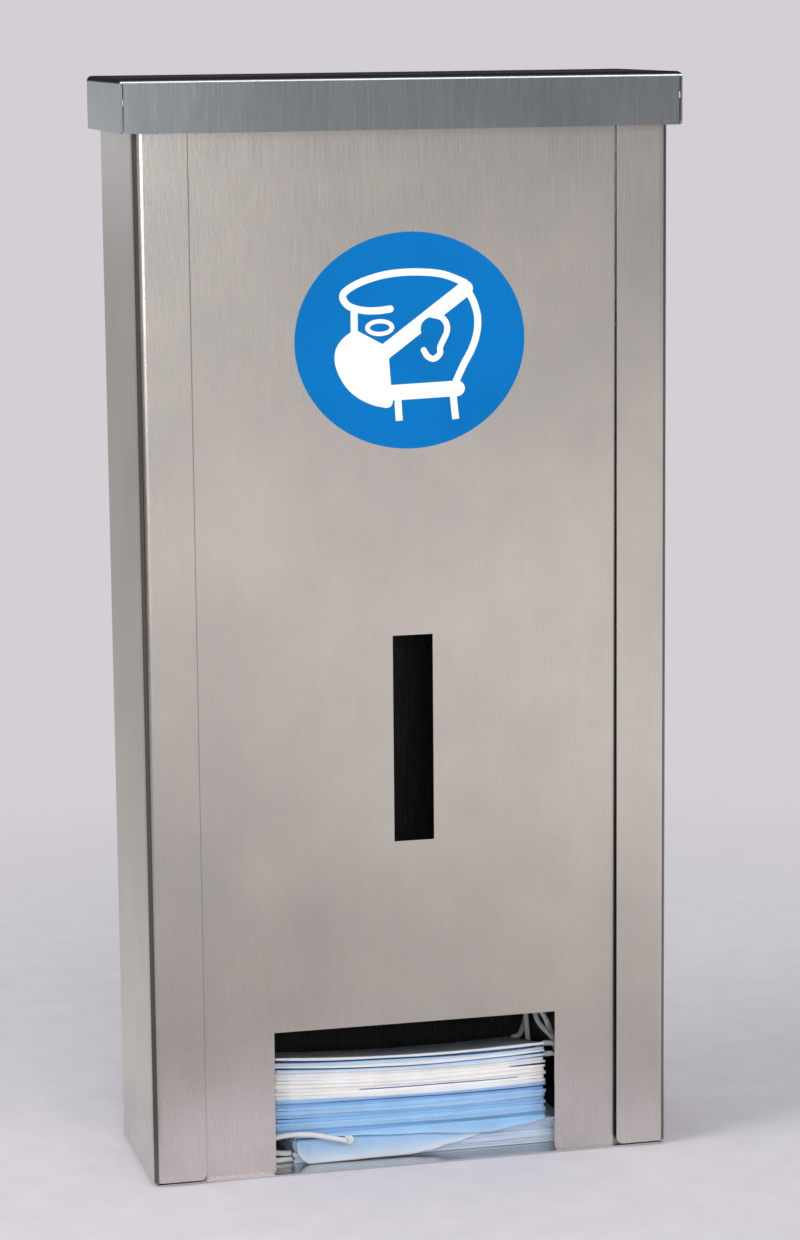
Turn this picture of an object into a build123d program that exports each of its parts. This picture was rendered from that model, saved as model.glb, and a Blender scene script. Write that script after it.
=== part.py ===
from build123d import *
from math import atan2, cos, radians, sin, tan
import os

os.makedirs("parts", exist_ok=True)

# Driving dimensions, in millimetres.
# The origin is the middle of the footprint, on the ground: X to the right, Y to the back, Z up.

# Sheet metal
sheet = 1.2                     # thickness of the wrapper, panel, tray, lid and guides
bend_radius = 6.4               # outside radius of the cabinet's four upright bends
lid_bend_radius = 3.2           # outside radius of the lid's bends
small_bend_radius = 2.4         # outside radius of the tray's and the guides' bends
joint_gap = 0.3                 # clearance between loose neighbours

# Cabinet
overall_height = 674.5
cabinet_width = 330.0
cabinet_depth = 118.0
wrapper_lift = 2.6              # the wrapper's lower edge above the ground
flange_width = 33.0             # front return flanges, from the outside corner inwards
flange_corner_radius = 4.5      # rounded lower inner corner of each flange

# Front panel, its sight slot and its dispensing notch
panel_overlap = 26.0            # hidden behind each flange
panel_gap_top = 0.8             # behind the flange at the top
panel_gap_foot = 3.8            # behind the flange at the foot
panel_top_gap = 1.0             # below the lid
cutout_offset = 2.7             # the cut-outs and the sign sit this far right of the middle
notch_width = 180.0
notch_height = 91.4             # above the ground
notch_corner_radius = 2.5       # rounded where the notch meets the panel's lower edge
slot_width = 25.2
slot_foot = 207.6               # above the ground
slot_height = 128.7

# Sign on the panel
sign_width = 142.6
sign_height = 130.7
sign_centre_height = 516.2
sign_thickness = 0.3

# Lid
lid_rim_height = 32.0
lid_overhang_side = 6.7
lid_overhang_front = 5.0
lid_seam_gap = 0.7              # open seam beside each front corner
lid_corner_radius = 2.0         # rounded lower corners of the rims
tack_drop = 12.0                # tack weld below the lid's top
tack_length = 4.0
tack_radius = 0.8

# Continuous hinge at the back of the lid, its leaves spot-welded on
hinge_end_gap = 7.0             # from the hinge's ends to the cabinet's corners
hinge_knuckles = 9
hinge_barrel_radius = 2.5
hinge_leaf_thickness = 1.0
hinge_leaf_width = 25.0
hinge_pin_radius = 1.2
hinge_pin_clearance = 0.06
hinge_knuckle_gap = 0.4
hinge_wall_clearance = 0.8      # from the barrel to the back wall's upper edge
hinge_lid_clearance = 0.8       # from the hinge axis to the lid's upper sheet

# Base tray
tray_flange_height = 18.0
tray_front_gap = 0.3            # behind the flanges
tray_relief = 3.0               # open corner between the side and back flanges

# Wall fixing holes
fixing_hole_radius = 3.25
fixing_inset = 25.0             # from the cabinet's sides
fixing_spacing_z = 500.0
fixing_centre_height = 350.0

# Channel strips for the panel
channel_clearance = 0.3         # behind the panel's foot
channel_leg = 18.0
channel_wall_leg = 12.0
channel_foot = 22.0
channel_top_gap = 14.0

# Guides beside the stack
stack_guide_gap = 204.0         # between their inner faces
stack_guide_flange = 15.0
stack_guide_top_gap = 72.1      # below the lid, to leave room for a hand
stack_guide_front_gap = 2.0     # behind the panel's channel strips

# Masks: folded flat, thickest along the hem in front, where the nose wire lies
mask_count = 28
mask_length = 175.0
mask_width = 95.0
mask_hem_thickness = 2.05       # at the front hem
mask_back_thickness = 1.25      # at the back edge
mask_hem_width = 12.0
mask_pleats = 3
mask_pleat_width = 18.0
mask_pleat_step = 0.45          # height of each fold's edge
mask_end_thickness = 0.9        # welded side bands
mask_end_width = 9.0
mask_end_inset = 0.4            # of the bands behind the mask's edges
mask_gap = 0.28                 # between neighbours
mask_setback = 19.0             # from the front of the cabinet to the stack
mask_slip = 0.9                 # how far the masks lie out of line
stack_left_rise = 4.3           # at the top, the stack's left end stands higher by this
stack_right_rise = 1.2          # and its right end by this
stack_sag = 0.1                 # least sag of a mask
slipped_masks = 7               # the lowest ones have slid to the right
slipped_shift = 12.0

# The highest of the slipped masks droops in front of those below it, more to the left.
droop_thickness = 1.5
droop_gap = 0.5                 # in front of the masks below
droop_tip_x = 51.0              # its right tip, from the cut-outs' middle
droop_foot_right_x = 4.0        # right end of the stretch that lies on the floor
droop_foot_left_x = -66.5
droop_end_height = 4.5          # of its left end's lower corner

# Ear loops: limp elastic cords. Each is welded to a mask's ends and lies along its points between.
loop_diameter = 3.4
loop_sides = 8                  # the cord's round section has this many flats
loop_lead = 4.6                 # the straight stretch that leaves a mask's end
loop_floor_gap = 0.1            # below a cord on the tray
loop_left_points = [
    (-39.5, -42.7, 15.0),
    (-54.0, -42.7, 19.4),
    (-68.5, -42.9, 22.2),
    (-80.0, -42.5, 22.0),
    (-88.5, -40.7, 19.8),
    (-94.0, -37.5, 16.8),
    (-96.4, -33.7, 13.8),
    (-94.4, -30.5, 11.0),
    (-89.4, -29.5, 8.8),
    (-83.8, -30.3, 7.4),
]
loop_floor_points = [
    (-84.4, -33.4, 3.0),
    (-91.5, -30.5, 3.0),
    (-96.0, -23.5, 3.0),
    (-96.8, -12.5, 3.0),
    (-95.2, 0.5, 3.0),
    (-96.4, 13.5, 3.0),
    (-93.5, 25.5, 3.0),
    (-85.8, 34.3, 3.0),
]
loop_upper_points = [
    (99.6, -29.3, 63.2),
    (101.9, -25.1, 62.4),
    (101.0, -19.9, 64.2),
    (97.6, -14.1, 68.0),
    (94.3, -6.5, 71.8),
    (93.8, 0.0, 79.5),
    (95.4, 8.0, 86.5),
    (98.0, 16.5, 89.6),
    (99.8, 25.5, 86.6),
    (100.4, 33.5, 78.4),
    (100.5, 40.0, 67.5),
    (100.2, 44.7, 57.0),
    (98.7, 46.7, 50.4),
]
loop_lower_points = [
    (99.4, -30.1, 57.2),
    (101.9, -25.9, 56.2),
    (102.5, -19.7, 57.2),
    (102.4, -14.1, 61.2),
    (101.3, -11.5, 67.6),
    (98.4, -11.9, 75.4),
    (93.9, -9.1, 82.6),
    (90.8, -1.5, 88.5),
    (90.2, 7.0, 90.5),
    (91.3, 13.5, 85.5),
    (92.6, 15.9, 77.0),
    (93.3, 16.1, 68.0),
    (94.3, 17.1, 59.0),
    (95.8, 20.5, 51.0),
    (97.6, 26.3, 46.2),
    (99.3, 31.9, 43.8),
    (99.0, 37.3, 43.2),
]
# The masks they hang from, and how far behind the masks' fronts they leave them
loop_left_mask = 3
loop_upper_mask = 28
loop_lower_mask = 25
loop_left_depth = 6.6
loop_floor_front_depth = 5.1
loop_floor_back_depth = 75.0
loop_right_front_depth = 7.0
loop_upper_back_depth = 86.0
loop_lower_back_depth = 81.0

# Positions worked out from the dimensions
half_width = cabinet_width / 2
overall_depth = lid_overhang_front + cabinet_depth + hinge_leaf_thickness
lid_front_y = -overall_depth / 2
front_y = lid_front_y + lid_overhang_front
back_y = front_y + cabinet_depth
middle_y = front_y + cabinet_depth / 2
inner_back_y = back_y - sheet
wall_top = overall_height - sheet
lid_foot = overall_height - lid_rim_height
lid_half_width = half_width + lid_overhang_side
leaf_back_y = back_y + hinge_leaf_thickness
hinge_y = leaf_back_y - hinge_barrel_radius
hinge_z = wall_top - hinge_barrel_radius
back_wall_top = hinge_z - hinge_barrel_radius - hinge_wall_clearance
panel_foot_y = front_y + sheet + panel_gap_foot
panel_foot_z = sheet
panel_length = wall_top - panel_top_gap - panel_foot_z
panel_lean = atan2(panel_gap_foot - panel_gap_top, panel_length)
panel_width = cabinet_width - 2 * flange_width + 2 * panel_overlap
channel_y = panel_foot_y + sheet + channel_clearance
guide_front_y = channel_y + sheet + stack_guide_front_gap
floor_z = sheet
fixing_spacing_x = cabinet_width - 2 * fixing_inset


def write_piece(piece, name):
    """Label a finished piece and write it as its own STEP file."""
    piece.label = name
    export_step(piece, f"parts/{name}.step")


# Cabinet shell: back wall, side walls and front flanges, folded from one sheet
with BuildPart() as cabinet_shell:
    with BuildSketch(Plane.XY.offset(wrapper_lift)) as shell_section:
        with Locations((0, middle_y)):
            RectangleRounded(cabinet_width, cabinet_depth, bend_radius)
            RectangleRounded(
                cabinet_width - 2 * sheet,
                cabinet_depth - 2 * sheet,
                bend_radius - sheet,
                mode=Mode.SUBTRACT,
            )
        with Locations((0, front_y)):
            Rectangle(cabinet_width - 2 * flange_width, 3 * sheet, mode=Mode.SUBTRACT)
    extrude(amount=wall_top - wrapper_lift)
    flange_corners = (
        cabinet_shell.edges().filter_by(Axis.Y).group_by(Axis.Z)[0].filter_by(lambda e: e.length < 2 * sheet)
    )
    fillet(flange_corners, flange_corner_radius)
    # The back is cut lower, so that the hinge barrel lies over its upper edge.
    with BuildSketch(Plane.XY.offset(back_wall_top)):
        with Locations((0, hinge_y - hinge_lid_clearance)):
            Rectangle(cabinet_width, 4 * bend_radius, align=(Align.CENTER, Align.MIN))
    extrude(amount=wall_top - back_wall_top, mode=Mode.SUBTRACT)
    # The fixing holes go through the back wall only.
    with BuildSketch(Plane.XZ.offset(-back_y)):
        with Locations((0, fixing_centre_height)):
            with GridLocations(fixing_spacing_x, fixing_spacing_z, 2, 2):
                Circle(fixing_hole_radius)
    extrude(amount=sheet, mode=Mode.SUBTRACT)
write_piece(cabinet_shell.part, "cabinet_shell")


# Front panel: it leans in its channel, with the foot farther back than the top
panel_plane = Plane(
    origin=(0, panel_foot_y, panel_foot_z),
    x_dir=(1, 0, 0),
    z_dir=(0, -cos(panel_lean), -sin(panel_lean)),
)

with BuildPart() as front_panel:
    with BuildSketch(panel_plane) as panel_outline:
        Rectangle(panel_width, panel_length, align=(Align.CENTER, Align.MIN))
        with Locations((cutout_offset, 0)):
            Rectangle(
                notch_width,
                notch_height - panel_foot_z,
                align=(Align.CENTER, Align.MIN),
                mode=Mode.SUBTRACT,
            )
        notch_corners = panel_outline.vertices().group_by(Axis.Y)[0].sort_by(Axis.X)[1:-1]
        fillet(notch_corners, notch_corner_radius)
        with Locations((cutout_offset, slot_foot - panel_foot_z)):
            Rectangle(slot_width, slot_height, align=(Align.CENTER, Align.MIN), mode=Mode.SUBTRACT)
    extrude(amount=-sheet)
write_piece(front_panel.part, "front_panel")


# Sign: a thin vinyl disc stuck on the panel, a little wider than high
with BuildPart() as sign_disc:
    with BuildSketch(panel_plane):
        with Locations((cutout_offset, sign_centre_height - panel_foot_z)):
            Ellipse(sign_width / 2, sign_height / 2)
    extrude(amount=sign_thickness)
write_piece(sign_disc.part, "sign_disc")


# Base tray: a floor with its sides and back folded up inside the wrapper
tray_half_width = half_width - sheet
tray_front_y = front_y + sheet + tray_front_gap
tray_side_back_y = inner_back_y - bend_radius
tray_back_half_width = tray_half_width - small_bend_radius - tray_relief

with BuildPart() as base_tray:
    with BuildSketch(Plane.XZ.offset(-tray_front_y)):
        with BuildLine():
            FilletPolyline(
                (-tray_half_width, tray_flange_height),
                (-tray_half_width, 0),
                (tray_half_width, 0),
                (tray_half_width, tray_flange_height),
                radius=small_bend_radius,
            )
            offset(amount=sheet, side=Side.LEFT)
        make_face()
    extrude(amount=-(tray_side_back_y - tray_front_y))
    # The side flanges start behind the wrapper's front bends.
    with BuildSketch(Plane.XZ.offset(-tray_front_y)):
        for side in (-1, 1):
            with Locations((side * tray_half_width, 0)):
                Rectangle(2 * small_bend_radius, 2 * tray_flange_height)
    extrude(amount=-(bend_radius - sheet), mode=Mode.SUBTRACT)
    with BuildSketch(Plane.YZ.offset(-tray_back_half_width)):
        with BuildLine():
            FilletPolyline(
                (tray_side_back_y - tray_relief, 0),
                (inner_back_y, 0),
                (inner_back_y, tray_flange_height),
                radius=small_bend_radius,
            )
            offset(amount=sheet, side=Side.LEFT)
        make_face()
    extrude(amount=2 * tray_back_half_width)
write_piece(base_tray.part, "base_tray")


# Channel strips: angles on the side walls that keep the panel behind the flanges
def build_panel_guide(side):
    """Angle on one side wall, side -1 for the left and 1 for the right."""
    wall_x = side * (half_width - sheet)
    with BuildPart() as guide:
        with BuildSketch(Plane.XY.offset(channel_foot)):
            with BuildLine():
                FilletPolyline(
                    (wall_x - side * channel_leg, channel_y),
                    (wall_x, channel_y),
                    (wall_x, channel_y + channel_wall_leg),
                    radius=small_bend_radius,
                )
                offset(amount=sheet, side=Side.LEFT if side > 0 else Side.RIGHT)
            make_face()
        extrude(amount=wall_top - channel_top_gap - channel_foot)
    return guide.part


write_piece(build_panel_guide(-1), "left_panel_guide")
write_piece(build_panel_guide(1), "right_panel_guide")


# Stack guides: folded plates from the back wall to the front, one each side of the masks
def build_stack_guide(side):
    """Folded plate with its flanges turned away from the masks."""
    inner_x = cutout_offset + side * stack_guide_gap / 2
    with BuildPart() as guide:
        with BuildSketch(Plane.XY.offset(floor_z)):
            with BuildLine():
                FilletPolyline(
                    (inner_x + side * stack_guide_flange, guide_front_y),
                    (inner_x, guide_front_y),
                    (inner_x, inner_back_y),
                    (inner_x + side * stack_guide_flange, inner_back_y),
                    radius=small_bend_radius,
                )
                offset(amount=sheet, side=Side.RIGHT if side > 0 else Side.LEFT)
            make_face()
        extrude(amount=wall_top - stack_guide_top_gap - floor_z)
        # Its back edge is cut away around the tray's back flange.
        with BuildSketch(Plane.XY.offset(floor_z)):
            with Locations((inner_x, inner_back_y)):
                Rectangle(4 * stack_guide_flange, 2 * (small_bend_radius + joint_gap))
        extrude(amount=tray_flange_height, mode=Mode.SUBTRACT)
    return guide.part


write_piece(build_stack_guide(-1), "left_stack_guide")
write_piece(build_stack_guide(1), "right_stack_guide")


# Continuous hinge: one leaf on the back wall, one under the lid, and a pin
hinge_length = cabinet_width - 2 * hinge_end_gap
knuckle_pitch = hinge_length / hinge_knuckles
knuckle_length = knuckle_pitch - hinge_knuckle_gap
bore_radius = hinge_pin_radius + hinge_pin_clearance
hinge_plane = Plane(origin=(-hinge_length / 2, hinge_y, hinge_z), x_dir=(0, 1, 0), z_dir=(1, 0, 0))


def build_hinge_leaf(first_knuckle, leaf_corner, leaf_size, tongue_corner, tongue_size):
    """Leaf with every second knuckle, drawn in the plane across the hinge axis."""
    with BuildPart() as leaf:
        with BuildSketch(hinge_plane):
            with Locations(leaf_corner):
                Rectangle(*leaf_size, align=(Align.MIN, Align.MIN))
        extrude(amount=hinge_length)
        for knuckle in range(first_knuckle, hinge_knuckles, 2):
            start = knuckle * knuckle_pitch + hinge_knuckle_gap / 2
            with BuildSketch(hinge_plane.offset(start)):
                Circle(hinge_barrel_radius)
                with Locations(tongue_corner):
                    Rectangle(*tongue_size, align=(Align.MIN, Align.MIN))
                Circle(bore_radius, mode=Mode.SUBTRACT)
            extrude(amount=knuckle_length)
    return leaf.part


leaf_start = hinge_barrel_radius + hinge_knuckle_gap
leaf_span = hinge_leaf_width - leaf_start
leaf_offset = hinge_barrel_radius - hinge_leaf_thickness

hinge_body_leaf = build_hinge_leaf(
    first_knuckle=0,
    leaf_corner=(leaf_offset, -hinge_leaf_width),
    leaf_size=(hinge_leaf_thickness, leaf_span),
    tongue_corner=(leaf_offset, -leaf_start),
    tongue_size=(hinge_leaf_thickness, leaf_start),
)
write_piece(hinge_body_leaf, "hinge_body_leaf")

hinge_lid_leaf = build_hinge_leaf(
    first_knuckle=1,
    leaf_corner=(-hinge_leaf_width, leaf_offset),
    leaf_size=(leaf_span, hinge_leaf_thickness),
    tongue_corner=(-leaf_start, leaf_offset),
    tongue_size=(leaf_start, hinge_leaf_thickness),
)
write_piece(hinge_lid_leaf, "hinge_lid_leaf")

with BuildPart() as hinge_pin:
    with BuildSketch(hinge_plane):
        Circle(hinge_pin_radius)
    extrude(amount=hinge_length)
write_piece(hinge_pin.part, "hinge_pin")


# Lid: a folded cap, open at the back, with its front corners left as open seams
lid_depth = leaf_back_y - lid_front_y


def build_lid_block(inset, foot, radius):
    """Solid block under the lid's outer or inner skin, with its three upper bends."""
    with BuildPart() as block:
        with BuildSketch(Plane.XY.offset(foot)):
            with Locations((0, lid_front_y + inset)):
                Rectangle(
                    2 * (lid_half_width - inset),
                    lid_depth,
                    align=(Align.CENTER, Align.MIN),
                )
        extrude(amount=overall_height - inset - foot)
        fillet(block.faces().sort_by(Axis.Z)[-1].edges().sort_by(Axis.Y)[:-1], radius)
    return block.part


with BuildPart() as lid:
    add(build_lid_block(0, lid_foot, lid_bend_radius))
    add(build_lid_block(sheet, lid_foot - sheet, lid_bend_radius - sheet), mode=Mode.SUBTRACT)
    # The upper sheet stops short of the hinge barrel.
    with BuildSketch(Plane.XY.offset(wall_top - sheet)):
        with Locations((0, hinge_y - hinge_lid_clearance)):
            Rectangle(hinge_length + 2 * joint_gap, 2 * hinge_leaf_width, align=(Align.CENTER, Align.MIN))
    extrude(amount=3 * sheet, mode=Mode.SUBTRACT)
    # Open seams in the front rim, beside the ends of the side rims
    seam_x = lid_half_width - sheet - lid_seam_gap / 2
    with BuildSketch(Plane.XZ.offset(-lid_front_y)):
        for side in (-1, 1):
            with Locations((side * seam_x, lid_foot)):
                Rectangle(lid_seam_gap, lid_rim_height - lid_bend_radius, align=(Align.CENTER, Align.MIN))
    extrude(amount=-sheet, mode=Mode.SUBTRACT)
    rim_corners = lid.edges().filter_by(Axis.Y).group_by(Axis.Z)[0].filter_by(lambda e: e.length < 2 * sheet)
    rim_corners += lid.edges().filter_by(Axis.X).group_by(Axis.Z)[0].filter_by(lambda e: e.length < 2 * sheet)
    fillet(rim_corners, lid_corner_radius)
    # A short tack weld bridges each seam.
    with BuildSketch(Plane.XY.offset(overall_height - tack_drop - tack_length)):
        for side in (-1, 1):
            with Locations((side * seam_x, lid_front_y + tack_radius)):
                Circle(tack_radius)
    extrude(amount=tack_length)
write_piece(lid.part, "lid")


# Masks: pleated, welded flat at both ends, and bowed as they lie in the stack.
# Each is thinner towards the back, so the stack falls away towards the back wall.
stack_front_y = front_y + mask_setback
mask_pitch = mask_hem_thickness + mask_gap
mask_taper = (mask_hem_thickness - mask_back_thickness) / mask_width
mask_end_rise = (mask_back_thickness - mask_end_thickness) / 2


def mask_section(plane):
    """Closed outline across a mask: a hem in front, then three overlapping pleats."""
    outline = [(0, 0), (0, mask_hem_thickness)]
    for pleat in range(mask_pleats):
        fold = mask_hem_width + pleat * mask_pleat_width
        crest = mask_hem_thickness - mask_taper * fold
        outline += [(fold, crest), (fold, crest - mask_pleat_step)]
    outline += [(mask_width, mask_back_thickness), (mask_width, 0)]
    with BuildSketch(plane) as section:
        with BuildLine():
            Polyline(*outline, close=True)
        make_face()
    return section.sketch


def end_band_section(plane):
    """Outline across a mask's welded ends, thinner than the pleats."""
    with BuildSketch(plane) as section:
        with Locations((mask_end_inset, mask_end_rise)):
            Rectangle(
                mask_width - 2 * mask_end_inset,
                mask_end_thickness,
                align=(Align.MIN, Align.MIN),
            )
    return section.sketch


def place_mask(index):
    """Left end, middle and right end of a mask's lower front edge, and its fall to the back."""
    share = index / (mask_count - 1)
    shift = slipped_shift if index < slipped_masks else 0
    fall = index * mask_taper
    middle_x = cutout_offset + shift + mask_slip * sin(2.4 * index)
    set_back = mask_slip * sin(1.7 * index + 1)
    front = stack_front_y + set_back
    height = floor_z + joint_gap / 2 + index * mask_pitch - set_back * tan(fall)
    sag = stack_sag * (1 + share)
    left = (middle_x - mask_length / 2, front, height + sag + share * stack_left_rise)
    middle = (middle_x, front, height)
    right = (middle_x + mask_length / 2, front, height + sag + share * stack_right_rise)
    return left, middle, right, fall


def build_mask(index):
    """One mask of the stack, counted from the bottom."""
    left, middle, right, fall = place_mask(index)
    bow = ThreePointArc(left, middle, right)
    depth_direction = (0, cos(fall), -sin(fall))
    end_share = mask_end_width / mask_length
    with BuildPart() as mask:
        # The welded bands are the ends of one thin layer that runs inside the pleats.
        for start, end, section in (
            (0, 1, end_band_section),
            (end_share, 1 - end_share, mask_section),
        ):
            stretch = bow.trim(start, end)
            plane = Plane(origin=stretch @ 0, x_dir=depth_direction, z_dir=stretch % 0)
            sweep(sections=section(plane), path=stretch)
        if index == slipped_masks - 1:
            # Its front hangs down before the masks below, as a long wedge.
            droop_y = stack_front_y - mask_slip - droop_gap
            hem_rise = mask_hem_thickness - mask_end_rise
            tip_x = cutout_offset + droop_tip_x
            with BuildSketch(Plane.XZ.offset(-droop_y)):
                with BuildLine():
                    Polyline(
                        (left[0], left[2] + hem_rise),
                        (left[0], droop_end_height),
                        (cutout_offset + droop_foot_left_x, floor_z + joint_gap / 2),
                        (cutout_offset + droop_foot_right_x, floor_z + joint_gap / 2),
                        (tip_x, middle[2]),
                        (tip_x, middle[2] + hem_rise),
                        close=True,
                    )
                make_face()
            extrude(amount=droop_thickness)
            # The hem's fold joins the wedge to the mask.
            with BuildSketch(Plane.XZ.offset(-droop_y)):
                with BuildLine():
                    Polyline(
                        (left[0], left[2] + mask_hem_thickness / 2),
                        (left[0], left[2] + mask_end_rise),
                        (tip_x, middle[2] + mask_end_rise),
                        (tip_x, middle[2] + mask_hem_thickness / 2),
                        close=True,
                    )
                make_face()
            extrude(amount=-(middle[1] - droop_y + mask_hem_width / 4))
    return mask.part


for index in range(mask_count):
    write_piece(build_mask(index), f"mask_{index + 1:02d}")


# Ear loops: round elastic laid along straight runs joined by tangent arcs
def loop_end(number, side, depth):
    """The point where a loop leaves a mask's end face, and the next one straight out from it."""
    left, middle, right, fall = place_mask(number - 1)
    bow = ThreePointArc(left, middle, right)
    place = 1 if side > 0 else 0
    end_plane = Plane(
        origin=bow @ place,
        x_dir=(0, cos(fall), -sin(fall)),
        z_dir=bow % place,
    )
    on_mask = end_plane.from_local_coords((depth, mask_back_thickness / 2, 0))
    # A cord that leaves the lowest mask rests on the floor.
    on_mask.Z = max(on_mask.Z, floor_z + loop_diameter / 2 + loop_floor_gap)
    outwards = end_plane.z_dir * side
    return [tuple(on_mask), tuple(on_mask + outwards * loop_lead)]


def build_loop(points):
    """Tube along the points, each bend as large as its two runs allow."""
    vectors = [Vector(*point) for point in points]
    radii = []
    for before, corner, after in zip(vectors, vectors[1:], vectors[2:]):
        arriving = corner - before
        leaving = after - corner
        shorter = min(arriving.length, leaving.length)
        half_turn = radians(arriving.get_angle(leaving)) / 2
        radii.append(0.45 * shorter / tan(half_turn))
    print("loop ends", [round(value, 2) for value in points[0] + points[-1]])
    print("loop radii", [round(radius, 1) for radius in radii])
    with BuildPart() as loop:
        with BuildLine():
            route = FilletPolyline(*vectors, radius=radii)
        with BuildSketch(Plane(origin=route @ 0, z_dir=route % 0)):
            section = RegularPolygon(loop_diameter / 2, loop_sides)
        sweep(path=route)
    print("loop length", round(route.length, 1), "volume over section", round(loop.part.volume / section.area, 1))
    return loop.part


loop_left_end = loop_end(loop_left_mask, -1, loop_left_depth)
loop_floor_front = loop_end(1, -1, loop_floor_front_depth)
loop_floor_back = loop_end(1, -1, loop_floor_back_depth)
loop_upper_front = loop_end(loop_upper_mask, 1, loop_right_front_depth)
loop_upper_back = loop_end(loop_upper_mask, 1, loop_upper_back_depth)
loop_lower_front = loop_end(loop_lower_mask, 1, loop_right_front_depth)
loop_lower_back = loop_end(loop_lower_mask, 1, loop_lower_back_depth)

write_piece(build_loop(loop_left_points + loop_left_end[::-1]), "ear_loop_left")
write_piece(build_loop(loop_floor_front + loop_floor_points + loop_floor_back[::-1]), "ear_loop_floor")
write_piece(build_loop(loop_upper_front + loop_upper_points + loop_upper_back[::-1]), "ear_loop_upper")
write_piece(build_loop(loop_lower_front + loop_lower_points + loop_lower_back[::-1]), "ear_loop_lower")
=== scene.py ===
# %% [markdown]
# # A steel face mask dispenser
# The imported model is the frame for everything here. Each piece below stands in the same place as
# its solid, in metres, with X to the right, Y to the back and Z up.

# %% Load the frame
import math
import bmesh
import bpy
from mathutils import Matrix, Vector


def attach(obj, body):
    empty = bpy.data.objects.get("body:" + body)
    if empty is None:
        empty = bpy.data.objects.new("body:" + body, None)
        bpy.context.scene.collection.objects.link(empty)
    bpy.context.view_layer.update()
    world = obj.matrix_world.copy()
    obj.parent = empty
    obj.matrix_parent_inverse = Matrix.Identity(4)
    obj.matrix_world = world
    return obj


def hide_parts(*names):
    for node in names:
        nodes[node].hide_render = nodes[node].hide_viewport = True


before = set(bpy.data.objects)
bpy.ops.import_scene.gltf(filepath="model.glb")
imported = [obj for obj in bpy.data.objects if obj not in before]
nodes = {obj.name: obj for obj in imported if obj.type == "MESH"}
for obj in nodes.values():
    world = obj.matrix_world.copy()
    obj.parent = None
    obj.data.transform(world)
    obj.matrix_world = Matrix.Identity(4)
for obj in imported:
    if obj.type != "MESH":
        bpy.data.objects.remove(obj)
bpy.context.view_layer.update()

scene = bpy.context.scene
MM = 0.001

# %% [markdown]
# ## The camera
# The photograph was taken a little left of the dispenser and from just above its lid. The place and
# the lens were worked out from the corners of the cabinet. The frame is 800 by 1240 pixels, upright,
# so the focal length is tied to the sensor's height.

# %% Camera
CAMERA_PLACE = Vector((-0.5137, -2.1330, 0.7091))
CAMERA_FORWARD = Vector((0.2342, 0.9577, -0.1673))
CAMERA_UP = Vector((0.0494, 0.1601, 0.9859))
FRAME_HEIGHT = 1240
FOCAL_PIXELS = 3561.8

camera_data = bpy.data.cameras.new("photo_camera")
camera_data.sensor_fit = "VERTICAL"
camera_data.sensor_height = 24.0
camera_data.lens = FOCAL_PIXELS / FRAME_HEIGHT * camera_data.sensor_height
camera_data.dof.use_dof = False
camera = bpy.data.objects.new("photo_camera", camera_data)
scene.collection.objects.link(camera)
forward = CAMERA_FORWARD.normalized()
right = forward.cross(CAMERA_UP).normalized()
up = right.cross(forward)
turn = camera.matrix_world.copy().to_3x3()
turn.col[0], turn.col[1], turn.col[2] = right, up, -forward
camera.matrix_world = turn.to_4x4()
camera.location = CAMERA_PLACE
scene.camera = camera
scene.view_settings.view_transform = "Standard"
print("lens", round(camera_data.lens, 1), "mm")

# %% [markdown]
# ## Small helpers
# Paint charts give colours as hex numbers in sRGB, while Blender mixes light in linear values, so one
# function turns the first into the second. Another one adds a shader node with its settings and its
# links, which keeps each material readable as a short list. The last ones turn lists of points and
# faces into a piece that rides on a body of the frame.

# %% Helpers for colours, nodes and meshes
def linear(hex_colour):
    """A hex colour in sRGB as linear red, green, blue and alpha."""
    values = [int(hex_colour[i:i + 2], 16) / 255 for i in (1, 3, 5)]
    return (*[v / 12.92 if v <= 0.04045 else ((v + 0.055) / 1.055) ** 2.4 for v in values], 1.0)


def add_node(tree, kind, inputs=None, **settings):
    """A shader node of a kind: settings are its properties, inputs are values, sockets or nodes to link.

    A node that is given as an input stands for its first output."""
    node = tree.nodes.new("ShaderNode" + kind)
    for name, value in settings.items():
        setattr(node, name, value)
    for name, value in (inputs or {}).items():
        if isinstance(value, bpy.types.Node):
            value = value.outputs[0]
        if isinstance(value, bpy.types.NodeSocket):
            tree.links.new(value, node.inputs[name])
        else:
            node.inputs[name].default_value = value
    return node


def new_material(name):
    """An empty material: its node tree and its output node."""
    material = bpy.data.materials.new(name)
    material.use_nodes = True
    material.node_tree.nodes.clear()
    output = add_node(material.node_tree, "OutputMaterial")
    return material, material.node_tree, output


def ramp(tree, factor, stops):
    """A colour ramp node with stops of (position, hex colour or grey level)."""
    node = add_node(tree, "ValToRGB", {"Fac": factor})
    while len(node.color_ramp.elements) < len(stops):
        node.color_ramp.elements.new(0.5)
    for element, (position, colour) in zip(node.color_ramp.elements, stops):
        element.position = position
        element.color = linear(colour) if isinstance(colour, str) else (colour, colour, colour, 1)
    return node


def place_mesh(name, mesh, material):
    """An object of a mesh, with its material."""
    mesh.materials.append(material)
    piece = bpy.data.objects.new(name, mesh)
    scene.collection.objects.link(piece)
    return piece


def make_piece(name, points, faces, material):
    """A smooth mesh piece from points in metres, on the cabinet."""
    mesh = bpy.data.meshes.new(name)
    mesh.from_pydata([tuple(p) for p in points], [], faces)
    mesh.update()
    for polygon in mesh.polygons:
        polygon.use_smooth = True
    piece = place_mesh(name, mesh, material)
    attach(piece, "cabinet")
    return piece


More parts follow.
